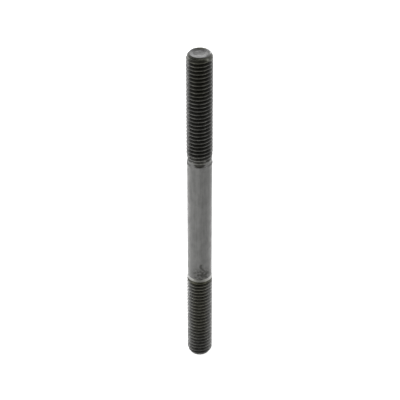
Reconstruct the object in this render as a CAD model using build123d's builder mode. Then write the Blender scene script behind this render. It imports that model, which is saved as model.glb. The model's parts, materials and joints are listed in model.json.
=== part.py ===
"""A double ended stud: one steel rod with a threaded length at each end and a plain shank between.

The stud stands on its lower end. Z is its axis, and the origin is the middle of the lower end face.
Each threaded length is modelled at its full diameter, as the envelope of its M8 x 1.25 thread.
"""

import os

from build123d import *

# The rod, in millimetres. The shank lies a little below the crests, as a rolled thread rises from its blank.
overall_length = 111.5
thread_diameter = 7.97
shank_step = 0.165
upper_thread_length = 34.1
lower_thread_length = 30.6

# The bevel at each end, which starts the nut, and the shallow dish that rolling leaves in the end face.
upper_bevel_width = 0.925
upper_bevel_height = 1.0
upper_bevel_blend = 0.8
lower_bevel_width = 0.85
lower_bevel_height = 1.4
lower_bevel_blend = 1.2
dish_rim_width = 0.12
dish_depth = 0.3

# Where the upper thread runs out: a taper down to a neck, a shoulder, and a low ring on the shank.
# The neck's depth and the ring's height are measured from the shank.
runout_length = 2.65
neck_depth = 0.13
neck_length = 0.6
neck_blend = 0.15
ring_height = 0.11
ring_length = 0.5
ring_blend = 0.1
ring_slope_length = 0.8

# Where the shank meets the lower thread: a groove with sloping sides, measured from the shank.
groove_depth = 0.335
groove_blend = 0.06

# Radii and levels that follow from them.
thread_radius = thread_diameter / 2
shank_radius = thread_radius - shank_step
neck_radius = shank_radius - neck_depth
ring_radius = shank_radius + ring_height
groove_radius = shank_radius - groove_depth
upper_end_radius = thread_radius - upper_bevel_width
lower_end_radius = thread_radius - lower_bevel_width
dish_radius = upper_end_radius - dish_rim_width
upper_bevel_level = overall_length - upper_bevel_height
runout_level = overall_length - upper_thread_length
neck_top = runout_level - runout_length
neck_bottom = neck_top - neck_length
ring_top = neck_bottom - ring_height - neck_depth
ring_bottom = ring_top - ring_length
shank_top = ring_bottom - ring_slope_length
groove_level = lower_thread_length + thread_radius - groove_radius
shank_bottom = groove_level + groove_depth

# The corners of the section that are rounded: radius from the axis, level, and radius of the blend.
rounded_corners = [
    (thread_radius, lower_bevel_height, lower_bevel_blend),
    (groove_radius, groove_level, groove_blend),
    (ring_radius, ring_top, ring_blend),
    (neck_radius, neck_bottom, neck_blend),
    (thread_radius, upper_bevel_level, upper_bevel_blend),
]

os.makedirs("parts", exist_ok=True)

with BuildPart() as stud:
    with BuildSketch(Plane.XZ) as half_section:
        with BuildLine():
            lower_end = Line((0, 0), (lower_end_radius, 0))
            lower_bevel = Line(lower_end @ 1, (thread_radius, lower_bevel_height))
            lower_thread = Line(lower_bevel @ 1, (thread_radius, lower_thread_length))
            groove_bevel = Line(lower_thread @ 1, (groove_radius, groove_level))
            shank_end = Line(groove_bevel @ 1, (shank_radius, shank_bottom))
            shank = Line(shank_end @ 1, (shank_radius, shank_top))
            ring_slope = Line(shank @ 1, (ring_radius, ring_bottom))
            ring = Line(ring_slope @ 1, (ring_radius, ring_top))
            shoulder = Line(ring @ 1, (neck_radius, neck_bottom))
            neck = Line(shoulder @ 1, (neck_radius, neck_top))
            runout = Line(neck @ 1, (thread_radius, runout_level))
            upper_thread = Line(runout @ 1, (thread_radius, upper_bevel_level))
            upper_bevel = Line(upper_thread @ 1, (upper_end_radius, overall_length))
            dish_rim = Line(upper_bevel @ 1, (dish_radius, overall_length))
            dish = TangentArc((0, overall_length - dish_depth), dish_rim @ 1, tangent=(1, 0))
            axis_side = Line(dish @ 0, lower_end @ 0)
        make_face()
        for corner_radius, corner_level, blend in rounded_corners:
            corner = half_section.vertices().sort_by_distance((corner_radius, corner_level))[0]
            fillet(corner, radius=blend)
    revolve(axis=Axis.Z)

stud.part.label = "stud"
export_step(stud.part, "parts/stud.step")
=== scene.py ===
import json
import math

import bmesh
import bpy
import mathutils
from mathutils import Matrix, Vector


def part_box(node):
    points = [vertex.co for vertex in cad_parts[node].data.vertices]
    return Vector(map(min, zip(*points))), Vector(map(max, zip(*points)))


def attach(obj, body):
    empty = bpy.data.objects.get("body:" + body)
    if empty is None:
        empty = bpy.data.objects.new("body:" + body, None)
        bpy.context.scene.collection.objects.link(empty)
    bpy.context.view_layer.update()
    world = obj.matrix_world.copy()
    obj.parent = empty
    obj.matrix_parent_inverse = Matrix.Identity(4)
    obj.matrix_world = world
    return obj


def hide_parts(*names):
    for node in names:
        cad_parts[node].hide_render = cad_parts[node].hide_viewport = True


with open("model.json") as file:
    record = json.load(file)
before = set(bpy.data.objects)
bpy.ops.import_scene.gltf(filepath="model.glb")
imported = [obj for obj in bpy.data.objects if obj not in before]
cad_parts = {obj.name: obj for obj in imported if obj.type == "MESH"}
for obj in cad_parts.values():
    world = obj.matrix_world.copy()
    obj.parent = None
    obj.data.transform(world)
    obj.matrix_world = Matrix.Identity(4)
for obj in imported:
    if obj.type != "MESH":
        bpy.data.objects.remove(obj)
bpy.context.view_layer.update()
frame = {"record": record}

mm = 0.001
samePlace = 0.001 * mm  # what lies closer than this counts as one place
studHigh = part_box("stud")[1]
mounts = {mount["name"]: mount for mount in frame["record"]["mounts"]}


# Where a threaded length starts or ends on the stud's axis
def threadEnd(name, side):
    return mounts[name]["pos_m"][2] + side * mounts[name]["dims"]["length_mm"] * mm / 2


# The stud's sizes. The thread is M8 x 1.25, and a lead is the share of a pitch that its start is turned by.
# An ease is the share of a rounding at which the corner's middle point lies, and a side is a range from
# -1 on the left to 1 on the right
stud = {
    "top": studHigh[2],
    "threadRadius": min(studHigh[0], studHigh[1]),
    "shankRadius": 3.82 * mm,
    "pitch": 1.25 * mm,
    "flankAngle": math.radians(30.0),
    "stepsPerTurn": 96,
    "spareTurns": 3,
    "crestHalfWidth": 0.1 * mm,
    "crestRounding": 0.11 * mm,
    "crestEase": (0.6, 0.2),
    "threadDepth": 0.775 * mm,
    "rootRounding": 0.1 * mm,
    "rootEase": 0.25,
    "upperThreadStart": threadEnd("upper_thread", -1),
    "lowerThreadEnd": threadEnd("lower_thread", 1),
    "upperLead": 0.45,
    "lowerLead": -0.05,
    "upperFade": 1.3 * mm,
    "lowerFade": 1.8 * mm,
    "runoutLength": 2.65 * mm,
    "neckRadius": 3.69 * mm,
    "neckLength": 0.6 * mm,
    "ringRadius": 3.93 * mm,
    "ringLength": 0.5 * mm,
    "ringSlopeLength": 0.8 * mm,
    "grooveDepth": 0.5 * mm,
    "softCorner": 0.08 * mm,
    "upperEndRadius": 3.06 * mm,
    "upperBevelHeight": 1.0 * mm,
    "upperBevelBlend": 0.8 * mm,
    "lowerEndRadius": 3.135 * mm,
    "lowerBevelHeight": 1.4 * mm,
    "lowerBevelBlend": 1.2 * mm,
    "lowerEndRim": 0.05 * mm,
    "lowerEndCore": 1.0 * mm,
    "endBulge": 0.065,
    "endBulgeSide": (-0.3, 0.9),
    "endFill": 0.75,
    "endFillSide": (0.2, 0.85),
    "endFillDepth": (1.7 * mm, 0.9 * mm),
    "rimRounding": 0.12 / mm,
    "dishRadius": 2.72 * mm,
    "dishShift": 0.18 * mm,
    "dishDepth": 0.2 * mm,
    "dishWallSlope": 0.19,
    "dishFrontSlope": 0.115,
    "dishRings": 24,
    "smoothAngle": math.radians(38.0),
}
stud["rootRadius"] = stud["threadRadius"] - stud["threadDepth"]
stud["neckTop"] = stud["upperThreadStart"] - stud["runoutLength"]
stud["neckBottom"] = stud["neckTop"] - stud["neckLength"]
stud["ringTop"] = stud["neckBottom"] - (stud["ringRadius"] - stud["neckRadius"])
stud["ringBottom"] = stud["ringTop"] - stud["ringLength"]
stud["shankTop"] = stud["ringBottom"] - stud["ringSlopeLength"]
stud["grooveRadius"] = stud["threadRadius"] - stud["grooveDepth"]
stud["grooveLevel"] = stud["lowerThreadEnd"] + stud["grooveDepth"]
stud["shankBottom"] = stud["grooveLevel"] + stud["shankRadius"] - stud["grooveRadius"]


def deselectAll():
    if bpy.context.object and bpy.context.object.mode != "OBJECT":
        bpy.ops.object.mode_set(mode="OBJECT")
    bpy.ops.object.select_all(action="DESELECT")


def pickOnly(piece):
    deselectAll()
    piece.select_set(True)
    bpy.context.view_layer.objects.active = piece


def smoothStep(low, high, value):
    share = min(max((value - low) / (high - low), 0.0), 1.0)
    return share * share * (3.0 - 2.0 * share)


# One pitch of the thread's outline, root to root, as radii and heights from the middle of the crest
def threadOutline():
    crest = stud["threadRadius"]
    root = stud["rootRadius"]
    half = stud["crestHalfWidth"]
    corner = stud["crestRounding"]
    bottom = stud["rootRounding"]
    easeAcross, easeDown = stud["crestEase"]
    slope = math.tan(stud["flankAngle"])
    flankEnd = half + (crest - root - bottom) * slope
    upward = [
        (crest, 0.0),
        (crest, half - easeAcross * corner),
        (crest - easeDown * corner, half),
        (crest - corner, half + corner * slope),
        (root + bottom, flankEnd),
        (root + stud["rootEase"] * bottom, (flankEnd + stud["pitch"] / 2) / 2),
        (root, stud["pitch"] / 2),
    ]
    downward = [(radius, -height) for radius, height in reversed(upward[1:])]
    return downward + upward


# The outline is drawn by extruding a single corner, then wound up by a Screw modifier
def windThread(name, bottom, turns):
    outline = threadOutline()
    deselectAll()
    bpy.ops.mesh.primitive_plane_add(size=1.0, location=(0, 0, 0))
    thread = bpy.context.object
    thread.name = name
    bpy.ops.object.mode_set(mode="EDIT")
    bpy.ops.mesh.select_all(action="SELECT")
    bpy.ops.mesh.merge(type="CENTER")
    radius, height = outline[0]
    bpy.ops.transform.translate(value=(radius, 0, bottom + stud["pitch"] / 2 + height))
    for nextRadius, nextHeight in outline[1:]:
        step = (nextRadius - radius, 0, nextHeight - height)
        bpy.ops.mesh.extrude_vertices_move(TRANSFORM_OT_translate={"value": step})
        radius, height = nextRadius, nextHeight
    bpy.ops.object.mode_set(mode="OBJECT")
    winding = thread.modifiers.new("winding", "SCREW")
    winding.axis = "Z"
    winding.angle = 2 * math.pi
    winding.screw_offset = stud["pitch"]
    winding.iterations = turns
    winding.steps = stud["stepsPerTurn"]
    winding.render_steps = stud["stepsPerTurn"]
    winding.use_merge_vertices = True
    winding.merge_threshold = samePlace
    bpy.ops.object.modifier_apply(modifier=winding.name)
    bpy.ops.object.mode_set(mode="EDIT")
    bpy.ops.mesh.select_all(action="SELECT")
    bpy.ops.mesh.remove_doubles(threshold=2 * samePlace)
    bpy.ops.object.mode_set(mode="OBJECT")
    return thread


# The radius of a bevelled end at a distance from its face, with the bevel blended into the thread's crests
def bevelledEnd(rise, endRadius, bevelHeight, blend):
    width = stud["threadRadius"] - endRadius
    lean = math.atan2(width, bevelHeight)
    below = bevelHeight + blend * math.tan(lean / 2) - rise
    if below <= 0.0:
        return stud["threadRadius"]
    if below < blend * math.sin(lean):
        return stud["threadRadius"] - blend + math.sqrt(blend * blend - below * below)
    return endRadius + width / bevelHeight * max(rise, 0.0)


# How far out the blank reaches at a level, inside its bevel and, on the upper thread, the run-out's taper
def upperBlank(level):
    taperSlope = (stud["threadRadius"] - stud["neckRadius"]) / stud["runoutLength"]
    taper = stud["neckRadius"] + taperSlope * max(level - stud["neckTop"], 0.0)
    rise = stud["top"] - level
    bevel = bevelledEnd(rise, stud["upperEndRadius"], stud["upperBevelHeight"], stud["upperBevelBlend"])
    return min(taper, bevel)


def lowerBlank(level):
    return bevelledEnd(level, stud["lowerEndRadius"], stud["lowerBevelHeight"], stud["lowerBevelBlend"])


# How much of the thread's depth is cut at a place. Its start is smeared shut on the right of the upper end
def upperCut(place):
    started = smoothStep(0.0, stud["upperFade"], place.z - stud["neckTop"])
    nearEnd = smoothStep(*stud["endFillDepth"], stud["top"] - place.z)
    onRight = smoothStep(*stud["endFillSide"], place.x / math.hypot(place.x, place.y))
    return started * (1.0 - stud["endFill"] * nearEnd * onRight)


def lowerCut(place):
    return math.sqrt(smoothStep(0.0, stud["lowerFade"], stud["lowerThreadEnd"] - place.z))


# Below taperTop the grooves go down with the blank, as far as the root
def shapeThread(thread, blank, cut, taperTop):
    for vertex in thread.data.vertices:
        place = vertex.co
        radius = math.hypot(place.x, place.y)
        reach = blank(place.z)
        depth = (stud["threadRadius"] - radius) * cut(place)
        shaped = min(stud["threadRadius"] - depth, reach)
        if place.z < taperTop:
            shaped = min(shaped, max(reach - depth, stud["rootRadius"]))
        place.x *= shaped / radius
        place.y *= shaped / radius


def trimThread(thread, bottom, top):
    pickOnly(thread)
    bpy.ops.object.mode_set(mode="EDIT")
    for level, upward in ((bottom, False), (top, True)):
        bpy.ops.mesh.select_all(action="SELECT")
        bpy.ops.mesh.bisect(
            plane_co=(0, 0, level), plane_no=(0, 0, 1),
            clear_inner=not upward, clear_outer=upward, threshold=0.1 * samePlace)
    bpy.ops.object.mode_set(mode="OBJECT")


# The trimmed ends are made round, to meet the plain parts of the stud
def roundEnds(thread, ends):
    for vertex in thread.data.vertices:
        for level, radius in ends:
            if abs(vertex.co.z - level) < samePlace:
                reach = math.hypot(vertex.co.x, vertex.co.y)
                vertex.co.x *= radius / reach
                vertex.co.y *= radius / reach
                vertex.co.z = level


def selectLoop(mesh, level):
    bpy.ops.mesh.select_all(action="DESELECT")
    bpy.ops.mesh.select_mode(type="EDGE")
    shape = bmesh.from_edit_mesh(mesh)
    for edge in shape.edges:
        if edge.is_boundary and all(abs(corner.co.z - level) < samePlace for corner in edge.verts):
            edge.select = True
    shape.select_flush_mode()
    bmesh.update_edit_mesh(mesh)


# Carries the selected loop on through the given radii and levels
def extrudeLoop(radius, level, outline):
    for nextRadius, nextLevel in outline:
        bpy.ops.mesh.extrude_region_move(TRANSFORM_OT_translate={"value": (0, 0, nextLevel - level)})
        share = nextRadius / radius
        bpy.ops.transform.resize(value=(share, share, 1), center_override=(0, 0, 0))
        radius, level = nextRadius, nextLevel


# Neck, shoulder, ring and shank hang from the upper thread, and meet the lower one at the groove
def extrudeShank(mesh):
    soft = stud["softCorner"]
    lastLevel = stud["lowerThreadEnd"] + 0.6 * soft
    selectLoop(mesh, stud["neckTop"])
    extrudeLoop(stud["neckRadius"], stud["neckTop"], [
        (stud["neckRadius"], stud["neckBottom"] + soft),
        (stud["neckRadius"] + 0.25 * soft, stud["neckBottom"]),
        (stud["neckRadius"] + soft, stud["neckBottom"] - 0.9 * soft),
        (stud["ringRadius"] - 0.7 * soft, stud["ringTop"] + 0.6 * soft),
        (stud["ringRadius"] - 0.2 * soft, stud["ringTop"] - 0.1 * soft),
        (stud["ringRadius"], stud["ringTop"] - 0.8 * soft),
        (stud["ringRadius"], stud["ringBottom"] + soft),
        (stud["ringRadius"] - 0.15 * soft, stud["ringBottom"] - soft),
        (stud["shankRadius"] + 0.15 * soft, stud["shankTop"] + soft),
        (stud["shankRadius"], stud["shankTop"] - soft),
        (stud["shankRadius"], stud["shankBottom"] + soft),
        (stud["shankRadius"] - 0.2 * soft, stud["shankBottom"] + 0.2 * soft),
        (stud["shankRadius"] - 0.8 * soft, stud["shankBottom"] - 0.6 * soft),
        (stud["grooveRadius"] + 0.4 * soft, stud["grooveLevel"] + 0.4 * soft),
        (stud["grooveRadius"] + 0.1 * soft, stud["grooveLevel"] - 0.1 * soft),
        (stud["threadRadius"] - 0.6 * soft, lastLevel),
    ])
    shape = bmesh.from_edit_mesh(mesh)
    for edge in shape.edges:
        levels = [corner.co.z for corner in edge.verts]
        onShank = all(abs(level - lastLevel) < samePlace for level in levels)
        onThread = all(abs(level - stud["lowerThreadEnd"]) < samePlace for level in levels)
        edge.select = edge.is_boundary and (onShank or onThread)
    bmesh.update_edit_mesh(mesh)
    bpy.ops.mesh.bridge_edge_loops()


# Rings across the upper end, ready for its dish, and the flat lower end
def closeEnds(mesh):
    rings = stud["dishRings"]
    face = [(stud["upperEndRadius"] * (1 - ring / rings), stud["top"]) for ring in range(1, rings)]
    selectLoop(mesh, stud["top"])
    extrudeLoop(stud["upperEndRadius"], stud["top"], face)
    bpy.ops.mesh.merge(type="CENTER")
    selectLoop(mesh, 0.0)
    extrudeLoop(stud["lowerEndRadius"], 0.0, [
        (stud["lowerEndRadius"] - stud["lowerEndRim"], 0.0),
        (stud["lowerEndCore"], 0.0),
    ])
    bpy.ops.mesh.merge(type="CENTER")


# How much wider the upper end is towards its right side. The share grows up the bevel
def endStretch(place, share=1.0):
    radius = math.hypot(place.x, place.y)
    if radius < samePlace:
        return 1.0
    return 1.0 + stud["endBulge"] * share * smoothStep(*stud["endBulgeSide"], place.x / radius)


# The dish slopes in from its rim to a flat floor, and more gently from the front, down to a straight line.
# Outside it, the face rounds off towards the bevel
def shapeUpperEnd(piece):
    bevelStart = stud["top"] - stud["upperBevelHeight"]
    for vertex in piece.data.vertices:
        place = vertex.co
        if place.z < bevelStart:
            continue
        stretch = endStretch(place, (place.z - bevelStart) / stud["upperBevelHeight"])
        place.x *= stretch
        place.y *= stretch
        if place.z < stud["top"] - samePlace:
            continue
        inward = stud["dishRadius"] - math.hypot(place.x + stud["dishShift"], place.y)
        if inward < 0.0:
            place.z -= stud["rimRounding"] * inward * inward
        else:
            front = (stud["dishRadius"] + place.y) * stud["dishFrontSlope"]
            place.z -= min(stud["dishDepth"], inward * stud["dishWallSlope"], max(front, 0.0))


def modelStud():
    pitch = stud["pitch"]
    spare = stud["spareTurns"]
    upperTurns = math.ceil((stud["top"] - stud["neckTop"]) / pitch) + spare
    lowerTurns = math.ceil(stud["lowerThreadEnd"] / pitch) + spare
    upperBottom = stud["neckTop"] - (spare / 2 + stud["upperLead"]) * pitch
    lowerBottom = -(spare / 2 + stud["lowerLead"]) * pitch
    upperThread = windThread("upperThread", upperBottom, upperTurns)
    lowerThread = windThread("lowerThread", lowerBottom, lowerTurns)
    shapeThread(upperThread, upperBlank, upperCut, stud["upperThreadStart"])
    shapeThread(lowerThread, lowerBlank, lowerCut, -math.inf)
    trimThread(upperThread, stud["neckTop"], stud["top"])
    trimThread(lowerThread, 0.0, stud["lowerThreadEnd"])
    roundEnds(upperThread, ((stud["neckTop"], stud["neckRadius"]), (stud["top"], stud["upperEndRadius"])))
    roundEnds(lowerThread, ((0.0, stud["lowerEndRadius"]), (stud["lowerThreadEnd"], stud["threadRadius"])))
    print("threads wound and trimmed:", len(upperThread.data.vertices), len(lowerThread.data.vertices))

    pickOnly(upperThread)
    lowerThread.select_set(True)
    bpy.ops.object.join()
    piece = upperThread
    piece.name = "studFinished"
    bpy.ops.object.mode_set(mode="EDIT")
    extrudeShank(piece.data)
    closeEnds(piece.data)
    bpy.ops.mesh.select_all(action="SELECT")
    bpy.ops.mesh.normals_make_consistent(inside=False)
    bpy.ops.object.mode_set(mode="OBJECT")
    shapeUpperEnd(piece)
    pickOnly(piece)
    bpy.ops.object.shade_smooth_by_angle(angle=stud["smoothAngle"])
    print("stud modelled:", len(piece.data.polygons), "faces")
    return piece


# A node with its settings and the values of its sockets
def addNode(tree, kind, settings=None, values=None):
    node = tree.nodes.new(kind)
    for name, value in (settings or {}).items():
        setattr(node, name, value)
    for name, value in (values or {}).items():
        node.inputs[name].default_value = value
    return node


# A Math node on numbers or sockets
def reckon(tree, operation, *terms):
    node = addNode(tree, "ShaderNodeMath", {"operation": operation})
    for socket, term in zip(node.inputs, terms):
        if isinstance(term, (int, float)):
            socket.default_value = term
        else:
            tree.links.new(term, socket)
    return node.outputs[0]


# Runs a value from low to high over a range, smoothly
def fade(tree, value, start, end, low=0.0, high=1.0):
    node = addNode(tree, "ShaderNodeMapRange", {"interpolation_type": "SMOOTHSTEP"})
    terms = {"Value": value, "From Min": start, "From Max": end, "To Min": low, "To Max": high}
    for name, term in terms.items():
        if isinstance(term, (int, float)):
            node.inputs[name].default_value = term
        else:
            tree.links.new(term, node.inputs[name])
    return node.outputs["Result"]


# A Mix node has its color sockets at 6 and 7, and gives out a color at 2
def blendColors(tree, share, first, second, mode="MIX"):
    node = addNode(tree, "ShaderNodeMix", {"data_type": "RGBA", "blend_type": mode})
    for socket, term in ((node.inputs[0], share), (node.inputs[6], first), (node.inputs[7], second)):
        if isinstance(term, (int, float)):
            socket.default_value = term
        elif isinstance(term, tuple):
            socket.default_value = term + (1.0,)
        else:
            tree.links.new(term, socket)
    return node.outputs[2]


def newGroup(name, inputs, outputs):
    group = bpy.data.node_groups.new(name, "ShaderNodeTree")
    for socketName, value in inputs.items():
        socket = group.interface.new_socket(socketName, in_out="INPUT", socket_type="NodeSocketFloat")
        socket.default_value = value
    for socketName in outputs:
        group.interface.new_socket(socketName, in_out="OUTPUT", socket_type="NodeSocketFloat")
    return group, group.nodes.new("NodeGroupOutput")


# Where a point lies on the stud, in millimetres: from the axis, up it, to its right side and to its front
def groupRoundTheAxis():
    group, result = newGroup("roundTheAxis", {}, ("Radius", "Height", "Side", "Front"))
    place = addNode(group, "ShaderNodeTexCoord").outputs["Object"]
    parts = addNode(group, "ShaderNodeSeparateXYZ")
    group.links.new(place, parts.inputs[0])
    squares = [reckon(group, "POWER", parts.outputs[axis], 2.0) for axis in ("X", "Y")]
    radius = reckon(group, "SQRT", reckon(group, "ADD", *squares))
    group.links.new(reckon(group, "MULTIPLY", radius, 1.0 / mm), result.inputs["Radius"])
    group.links.new(reckon(group, "MULTIPLY", parts.outputs["Z"], 1.0 / mm), result.inputs["Height"])
    group.links.new(reckon(group, "MULTIPLY", parts.outputs["X"], 1.0 / mm), result.inputs["Side"])
    group.links.new(reckon(group, "MULTIPLY", parts.outputs["Y"], -1.0 / mm), result.inputs["Front"])
    return group


# A noise stretched across or along the axis, sizes in millimetres, spread over 0 to 1
def groupUnevenness():
    group, result = newGroup(
        "unevenness", {"Across": 1.0, "Along": 1.0, "Detail": 3.0, "Shift": 0.0, "Spread": 0.2}, ("Mask",))
    given = group.nodes.new("NodeGroupInput")
    place = addNode(group, "ShaderNodeTexCoord").outputs["Object"]
    sizes = addNode(group, "ShaderNodeCombineXYZ")
    for axis, name in (("X", "Across"), ("Y", "Across"), ("Z", "Along")):
        group.links.new(reckon(group, "DIVIDE", 1.0 / mm, given.outputs[name]), sizes.inputs[axis])
    scaled = addNode(group, "ShaderNodeVectorMath", {"operation": "MULTIPLY"})
    group.links.new(place, scaled.inputs[0])
    group.links.new(sizes.outputs[0], scaled.inputs[1])
    moved = addNode(group, "ShaderNodeVectorMath", {"operation": "ADD"})
    group.links.new(scaled.outputs[0], moved.inputs[0])
    group.links.new(given.outputs["Shift"], moved.inputs[1])
    noise = addNode(group, "ShaderNodeTexNoise", values={"Scale": 1.0, "Roughness": 0.55})
    group.links.new(moved.outputs[0], noise.inputs["Vector"])
    group.links.new(given.outputs["Detail"], noise.inputs["Detail"])
    low = reckon(group, "SUBTRACT", 0.5, given.outputs["Spread"])
    high = reckon(group, "ADD", 0.5, given.outputs["Spread"])
    group.links.new(fade(group, noise.outputs["Fac"], low, high), result.inputs["Mask"])
    return group


roundTheAxis = groupRoundTheAxis()
unevennessGroup = groupUnevenness()


def placeGroup(tree, group, **values):
    node = addNode(tree, "ShaderNodeGroup", {"node_tree": group})
    for name, value in values.items():
        node.inputs[name.capitalize()].default_value = value
    return node


def unevenness(tree, across, along, detail=3.0, shift=0.0, spread=0.2):
    node = placeGroup(
        tree, unevennessGroup, across=across, along=along, detail=detail, shift=shift, spread=spread)
    return node.outputs["Mask"]


def startSteel(name):
    steel = bpy.data.materials.new(name)
    steel.use_nodes = True
    tree = steel.node_tree
    shader = tree.nodes["Principled BSDF"]
    shader.inputs["Metallic"].default_value = 1.0
    return steel, tree, shader


# Sets a steel's color, darker or lighter by the shade, its roughness by its patches, and its grain
def coatSteel(tree, shader, color, shade, patches, grain, finish):
    shaded = addNode(tree, "ShaderNodeHueSaturation")
    tree.links.new(color, shaded.inputs["Color"])
    tree.links.new(shade, shaded.inputs["Value"])
    tree.links.new(shaded.outputs["Color"], shader.inputs["Base Color"])
    low, high = finish["roughness"]
    tree.links.new(fade(tree, patches, 0.0, 1.0, high, low), shader.inputs["Roughness"])
    bump = addNode(tree, "ShaderNodeBump", values={"Strength": 1.0, "Distance": finish["grainDepth"]})
    tree.links.new(grain, bump.inputs["Height"])
    tree.links.new(bump.outputs["Normal"], shader.inputs["Normal"])


# Adds up masks with their weights, on top of a starting value
def weigh(tree, start, *masks):
    total = start
    for mask, weight in masks:
        total = reckon(tree, "MULTIPLY_ADD", mask, weight, total)
    return total


def multiplyAll(tree, first, *others):
    product = first
    for other in others:
        product = reckon(tree, "MULTIPLY", product, other)
    return product


# Dark oxide on the rolled threads, burnished on the crests, darkest in the roots and uneven towards the ends,
# with painted shade on their fronts, on the camera's side, brownish at the top and greyer lower down. Wear
# holds two levels up the stud and the shares of burnish there, and each end holds two levels, a share and a
# color. Levels and pattern sizes are in millimetres
upperThreadFinish = {
    "rootColor": (0.035, 0.035, 0.031),
    "flankColor": (0.062, 0.062, 0.061),
    "crestColor": (0.082, 0.082, 0.080),
    "wear": (104.0, 84.0, 0.6, 1.0),
    "ends": (
        (109.3, 110.4, 0.8, (0.074, 0.075, 0.067)),
        (77.4, 76.0, 0.9, (0.110, 0.110, 0.106)),
    ),
    "frontShade": (0.93, 0.92, 0.80),
    "lowFrontShade": (1.0, 0.995, 0.94),
    "frontShadeHeight": (100.0, 95.0),
}
lowerThreadFinish = {
    "rootColor": (0.030, 0.030, 0.027),
    "flankColor": (0.180, 0.180, 0.177),
    "crestColor": (0.137, 0.137, 0.133),
    "wear": (0.0, 30.0, 0.8, 0.8),
    "ends": (
        (28.2, 29.6, 0.8, (0.045, 0.045, 0.032)),
        (1.6, 0.0, 0.5, (0.060, 0.060, 0.050)),
    ),
    "frontShade": (0.62, 0.61, 0.52),
    "lowFrontShade": (0.55, 0.55, 0.525),
    "frontShadeHeight": (14.0, 4.0),
}

# What both threads share. Crest and root are ranges of depth below the crests, the third range is one of
# distance to the front, over which painted shade comes in, and burnish and shade hold a starting value and
# the weights of each pattern
threadTexture = {
    "crest": (0.24, 0.06),
    "root": (0.32, 0.58),
    "frontShade": (2.4, 3.8),
    "patches": {"across": 1.1, "along": 1.5, "detail": 4.0, "spread": 0.18},
    "grain": {"across": 0.12, "along": 0.12, "detail": 2.0, "shift": 3.0, "spread": 0.25},
    "burnish": (0.5, 0.5),
    "shade": (0.68, 0.54, 0.14),
    "roughness": (0.27, 0.37),
    "grainDepth": 0.006 * mm,
}


def threadMaterial(name, finish):
    steel, tree, shader = startSteel(name)
    places = placeGroup(tree, roundTheAxis)
    depth = reckon(tree, "SUBTRACT", stud["threadRadius"] / mm, places.outputs["Radius"])
    patches = unevenness(tree, **threadTexture["patches"])
    grain = unevenness(tree, **threadTexture["grain"])
    start, patchShare = threadTexture["burnish"]
    worn = multiplyAll(
        tree,
        fade(tree, depth, *threadTexture["crest"]),
        weigh(tree, start, (patches, patchShare)),
        fade(tree, places.outputs["Height"], *finish["wear"]))
    inRoot = fade(tree, depth, *threadTexture["root"])
    color = blendColors(tree, inRoot, finish["flankColor"], finish["rootColor"])
    color = blendColors(tree, worn, color, finish["crestColor"])
    for start, end, most, endColor in finish["ends"]:
        atEnd = fade(tree, places.outputs["Height"], start, end, 0.0, most)
        color = blendColors(tree, atEnd, color, endColor)
    # Painted shade: the fronts, on the camera's side, are darkened and tinted
    onShadedFront = fade(tree, places.outputs["Front"], *threadTexture["frontShade"])
    lower = fade(tree, places.outputs["Height"], *finish["frontShadeHeight"])
    frontShade = blendColors(tree, lower, finish["frontShade"], finish["lowFrontShade"])
    color = blendColors(tree, onShadedFront, color, frontShade, mode="MULTIPLY")
    start, patchShare, grainShare = threadTexture["shade"]
    shade = weigh(tree, start, (patches, patchShare), (grain, grainShare))
    coatSteel(tree, shader, color, shade, patches, grain, threadTexture)
    return steel


# Satin grey shank, drawn lengthwise, with patches of tone. Low on its front it has a dark stain with a run
# above it, and a painted dark reflection, a lens-shaped dark spot, lies on its front below the last turn of
# the thread. Places and pattern sizes are in millimetres, and shade holds a starting value and the weights of
# streaks, patches and grain
shankFinish = {
    "color": (0.115, 0.115, 0.112),
    "front": (0.0, 1.0),
    "stainColor": (0.036, 0.036, 0.033),
    "stainHeight": (37.0, 33.6),
    "stainSide": 0.5,
    "stainReach": (3.3, 1.6),
    "stainShade": (0.25, 0.75),
    "stainBlots": {"across": 0.9, "along": 0.7, "detail": 3.0, "shift": 11.0, "spread": 0.12},
    "runHeight": (37.7, 37.1),
    "runFoot": (32.2, 33.4),
    "runBend": 36.1,
    "runSlope": 0.85,
    "runSide": 0.45,
    "runSway": 0.25,
    "runWobble": {"across": 0.5, "along": 0.5, "detail": 2.0, "shift": 13.0},
    "runReach": (0.65, 0.15),
    "runShare": 0.75,
    "darkReflectionColor": (0.027, 0.027, 0.024),
    "darkReflectionHeight": 74.55,
    "darkReflectionSize": (1.75, 0.55),
    "darkReflectionEdge": (1.3, 0.6),
    "streaks": {"across": 0.35, "along": 9.0, "detail": 3.0},
    "patches": {"across": 1.6, "along": 2.6, "detail": 3.0, "shift": 5.0},
    "grain": {"across": 0.08, "along": 0.5, "detail": 2.0, "shift": 9.0, "spread": 0.25},
    "shade": (0.84, 0.14, 0.14, 0.06),
    "roughness": (0.30, 0.40),
    "grainDepth": 0.003 * mm,
}


def distance(tree, first, second):
    return reckon(tree, "ABSOLUTE", reckon(tree, "SUBTRACT", first, second))


def stainMask(tree, places):
    aside = distance(tree, places.outputs["Side"], shankFinish["stainSide"])
    blots = unevenness(tree, **shankFinish["stainBlots"])
    least, rest = shankFinish["stainShade"]
    return multiplyAll(
        tree,
        fade(tree, places.outputs["Height"], *shankFinish["stainHeight"]),
        fade(tree, aside, *shankFinish["stainReach"]),
        weigh(tree, least, (blots, rest)))


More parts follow.
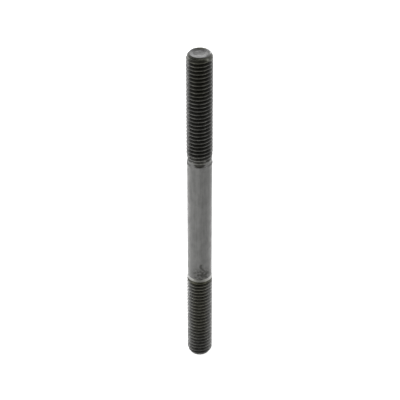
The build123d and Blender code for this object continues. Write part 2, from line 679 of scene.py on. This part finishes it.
# The run comes straight down, then bends to the right and is lost in the stain
def runMask(tree, places):
    below = reckon(tree, "SUBTRACT", shankFinish["runBend"], places.outputs["Height"])
    below = reckon(tree, "MAXIMUM", below, 0.0)
    middle = reckon(tree, "MULTIPLY_ADD", below, shankFinish["runSlope"], shankFinish["runSide"])
    wobble = unevenness(tree, **shankFinish["runWobble"])
    wavy = reckon(tree, "MULTIPLY_ADD", wobble, shankFinish["runSway"], places.outputs["Side"])
    return multiplyAll(
        tree,
        fade(tree, places.outputs["Height"], *shankFinish["runHeight"]),
        fade(tree, distance(tree, wavy, middle), *shankFinish["runReach"]),
        fade(tree, places.outputs["Height"], *shankFinish["runFoot"]),
        shankFinish["runShare"])


# Painted dark reflection: an ellipse of darker colour on the neck's front, standing in for the dark
# surroundings it reflects
def darkReflectionMask(tree, places):
    width, height = shankFinish["darkReflectionSize"]
    beside = reckon(tree, "DIVIDE", places.outputs["Side"], width)
    along = reckon(tree, "SUBTRACT", places.outputs["Height"], shankFinish["darkReflectionHeight"])
    along = reckon(tree, "DIVIDE", along, height)
    away = reckon(tree, "ADD", reckon(tree, "POWER", beside, 2.0), reckon(tree, "POWER", along, 2.0))
    return fade(tree, away, *shankFinish["darkReflectionEdge"])


def shankMaterial():
    steel, tree, shader = startSteel("satinShank")
    streaks = unevenness(tree, **shankFinish["streaks"])
    patches = unevenness(tree, **shankFinish["patches"])
    grain = unevenness(tree, **shankFinish["grain"])
    places = placeGroup(tree, roundTheAxis)
    onFront = fade(tree, places.outputs["Front"], *shankFinish["front"])
    stained = reckon(tree, "MAXIMUM", stainMask(tree, places), runMask(tree, places))
    stained = reckon(tree, "MULTIPLY", stained, onFront)
    color = blendColors(tree, stained, shankFinish["color"], shankFinish["stainColor"])
    # Paints the dark reflection on the neck's front into the colour
    darkReflected = reckon(tree, "MULTIPLY", darkReflectionMask(tree, places), onFront)
    color = blendColors(tree, darkReflected, color, shankFinish["darkReflectionColor"])
    start, *weights = shankFinish["shade"]
    shade = weigh(tree, start, *zip((streaks, patches, grain), weights))
    coatSteel(tree, shader, color, shade, patches, grain, shankFinish)
    return steel


# Bare steel on the bevel below the shank, with painted shade making it darker at its front, on the camera's
# side.
# That darker colour comes in over a range of levels up the stud and a range of distance to the front, in
# millimetres
bareFinish = {
    "color": (0.49, 0.49, 0.48),
    "mottle": 0.22,
    "oxideAndShadeColor": (0.38, 0.38, 0.35),
    "oxideAndShadeHeight": (20.0, 25.0),
    "oxideAndShadeFront": (2.0, 3.4),
    "roughness": (0.34, 0.42),
    "grainDepth": 0.003 * mm,
}

# The dished upper end and the flat lower end, worn and mottled, with darker olive oxide on the upper end's
# rear rim
endFinish = {
    "color": (0.285, 0.285, 0.285),
    "mottle": 0.42,
    "oxideAndShadeColor": (0.22, 0.225, 0.18),
    "oxideAndShadeHeight": (109.0, 110.0),
    "oxideAndShadeFront": (-1.9, -2.6),
    "roughness": (0.16, 0.24),
    "grainDepth": 0.003 * mm,
}


# What both bare steels share
plainTexture = {
    "patches": {"across": 0.9, "along": 0.9, "detail": 4.0, "shift": 2.0},
    "grain": {"across": 0.1, "along": 0.1, "detail": 2.0, "shift": 7.0, "spread": 0.25},
    "brightness": 0.96,
    "grainShare": 0.06,
}


def plainSteel(name, finish):
    steel, tree, shader = startSteel(name)
    patches = unevenness(tree, **plainTexture["patches"])
    grain = unevenness(tree, **plainTexture["grain"])
    places = placeGroup(tree, roundTheAxis)
    # On the bare bevel this darker colour is painted shade at the front; on the upper end it is oxide on the
    # rear rim
    oxideAndShade = multiplyAll(
        tree,
        fade(tree, places.outputs["Height"], *finish["oxideAndShadeHeight"]),
        fade(tree, places.outputs["Front"], *finish["oxideAndShadeFront"]))
    color = blendColors(tree, oxideAndShade, finish["color"], finish["oxideAndShadeColor"])
    start = plainTexture["brightness"] - finish["mottle"] / 2
    shade = weigh(tree, start, (patches, finish["mottle"]), (grain, plainTexture["grainShare"]))
    coatSteel(tree, shader, color, shade, patches, grain, finish)
    return steel


# How far the shank's finish reaches up into the run-out and how far the bare bevel starts below the groove,
# the depth to which the upper end counts as its face, and how far inside its rim that face starts
finishLimits = {
    "intoRunout": 0.25 * mm,
    "belowGroove": 0.02 * mm,
    "faceDepth": 0.24 * mm,
    "faceInset": 0.02 * mm,
}


# Which finish a face has, by where its middle is
def finishOf(middle):
    radius = math.hypot(middle.x, middle.y) / endStretch(middle)
    onFace = radius < stud["upperEndRadius"] - finishLimits["faceInset"]
    nearTop = middle.z > stud["top"] - finishLimits["faceDepth"]
    if middle.z < samePlace or (nearTop and onFace):
        return "endFace"
    if middle.z < stud["lowerThreadEnd"]:
        return "greyedThread"
    if middle.z < stud["grooveLevel"] - finishLimits["belowGroove"]:
        return "bareBevel"
    if middle.z < stud["neckTop"] + finishLimits["intoRunout"]:
        return "satinShank"
    return "blackenedThread"


def finishStud(piece):
    steels = [
        threadMaterial("blackenedThread", upperThreadFinish),
        threadMaterial("greyedThread", lowerThreadFinish),
        shankMaterial(),
        plainSteel("bareBevel", bareFinish),
        plainSteel("endFace", endFinish),
    ]
    piece.data.materials.clear()
    for steel in steels:
        piece.data.materials.append(steel)
    slots = {steel.name: slot for slot, steel in enumerate(steels)}
    for face in piece.data.polygons:
        face.material_index = slots[finishOf(face.center)]
    print("finishes placed:", ", ".join(slots))


piece = modelStud()
finishStud(piece)
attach(piece, "root")
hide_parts("stud")

# The camera looks down on the stud's front
view = {
    "lens": 145.3,
    "elevation": math.radians(35.5),
    "distance": 493.5 * mm,
    "aimSide": 0.12 * mm,
    "aimHeight": 59.55 * mm,
    "roll": math.radians(-0.035),
    "clipStart": 0.02,
}


def placeCamera():
    bpy.ops.object.camera_add()
    camera = bpy.context.object
    camera.data.lens = view["lens"]
    camera.data.clip_start = view["clipStart"]
    camera.location = (
        view["aimSide"],
        -view["distance"] * math.cos(view["elevation"]),
        view["aimHeight"] + view["distance"] * math.sin(view["elevation"]))
    upright = mathutils.Euler((math.pi / 2 - view["elevation"], 0, 0)).to_matrix()
    camera.rotation_euler = (upright @ mathutils.Matrix.Rotation(view["roll"], 3, "Z")).to_euler()
    bpy.context.scene.camera = camera


# White floor, brighter behind the stud and on its left, and a room that is white near the horizon, dim
# overhead and dimmer at the camera's side. Left and back hold where the rise starts and ends and how much
# it is, room holds elevations and levels, and lamps hold how far each is turned around the stud from the
# camera's side, its elevation and its power
studio = {
    "floorSize": 6.0,
    "floorColor": (0.9, 0.9, 0.9),
    "floorRoughness": 0.9,
    "floorGlow": 0.6,
    "floorLeft": (15.0 * mm, -15.0 * mm, 0.33),
    "floorBack": (-6.0 * mm, 12.0 * mm, 0.15),
    "horizon": 1.1,
    "frontDimming": (-0.78, -0.97, 1.0, 0.3),
    "room": ((0.0, 1.0), (20.0, 1.0), (25.0, 0.85), (30.0, 0.62), (39.0, 0.38), (50.0, 0.25), (90.0, 0.18)),
    "lampDistance": 1.2,
    "lampSize": (0.64, 0.5),
    "lamps": {
        "leftLamp": (-147.0, 24.0, 2.7),
        "leftFrontLamp": (-64.0, 25.0, 1.9),
        "rightFrontLamp": (58.0, 20.0, 1.6),
        "rightLamp": (147.0, 24.0, 3.1),
    },
}


def rayIs(tree, *names):
    path = addNode(tree, "ShaderNodeLightPath")
    found = path.outputs[names[0]]
    for name in names[1:]:
        found = reckon(tree, "MAXIMUM", found, path.outputs[name])
    return found


def layFloor():
    deselectAll()
    bpy.ops.mesh.primitive_plane_add(size=studio["floorSize"], location=(0, 0, 0))
    floor = bpy.context.object
    floor.name = "floor"
    paper = bpy.data.materials.new("whitePaper")
    paper.use_nodes = True
    tree = paper.node_tree
    shader = tree.nodes["Principled BSDF"]
    shader.inputs["Base Color"].default_value = studio["floorColor"] + (1.0,)
    shader.inputs["Roughness"].default_value = studio["floorRoughness"]
    shader.inputs["Specular IOR Level"].default_value = 0.0
    shader.inputs["Emission Color"].default_value = (1.0, 1.0, 1.0, 1.0)
    seen = rayIs(tree, "Is Camera Ray", "Is Glossy Ray", "Is Transmission Ray")
    across = addNode(tree, "ShaderNodeSeparateXYZ")
    tree.links.new(addNode(tree, "ShaderNodeTexCoord").outputs["Object"], across.inputs[0])
    glow = studio["floorGlow"]
    for axis, (start, end, rise) in (("X", studio["floorLeft"]), ("Y", studio["floorBack"])):
        glow = reckon(tree, "ADD", fade(tree, across.outputs[axis], start, end, 0.0, rise), glow)
    tree.links.new(reckon(tree, "MULTIPLY", seen, glow), shader.inputs["Emission Strength"])
    floor.data.materials.append(paper)


def lightRoom():
    world = bpy.context.scene.world or bpy.data.worlds.new("room")
    bpy.context.scene.world = world
    world.use_nodes = True
    tree = world.node_tree
    direction = addNode(tree, "ShaderNodeTexCoord").outputs["Generated"]
    parts = addNode(tree, "ShaderNodeSeparateXYZ")
    tree.links.new(direction, parts.inputs[0])
    ramp = addNode(tree, "ShaderNodeValToRGB")
    stops = ramp.color_ramp.elements
    while len(stops) < len(studio["room"]):
        stops.new(0.5)
    for stop, (elevation, level) in zip(stops, studio["room"]):
        stop.position = math.sin(math.radians(elevation))
        stop.color = (level, level, level, 1.0)
    tree.links.new(parts.outputs["Z"], ramp.inputs["Fac"])
    background = tree.nodes["Background"]
    tree.links.new(ramp.outputs["Color"], background.inputs["Color"])
    dimmed = fade(tree, parts.outputs["Y"], *studio["frontDimming"])
    tree.links.new(reckon(tree, "MULTIPLY", dimmed, studio["horizon"]), background.inputs["Strength"])


# Soft lamps stand at both sides, behind the stud and in front of it
def placeLamps():
    middle = mathutils.Vector((0, 0, stud["top"] / 2))
    for name, (turn, elevation, power) in studio["lamps"].items():
        turn, elevation = math.radians(turn), math.radians(elevation)
        away = mathutils.Vector((
            math.cos(elevation) * math.sin(turn), -math.cos(elevation) * math.cos(turn), math.sin(elevation)))
        deselectAll()
        bpy.ops.object.light_add(type="AREA", location=middle + studio["lampDistance"] * away)
        lamp = bpy.context.object
        lamp.name = name
        lamp.rotation_euler = away.to_track_quat("Z", "Y").to_euler()
        lamp.data.shape = "RECTANGLE"
        lamp.data.size, lamp.data.size_y = studio["lampSize"]
        lamp.data.energy = power


placeCamera()
layFloor()
lightRoom()
placeLamps()
bpy.context.scene.view_settings.view_transform = "Standard"
print("stage and camera placed")
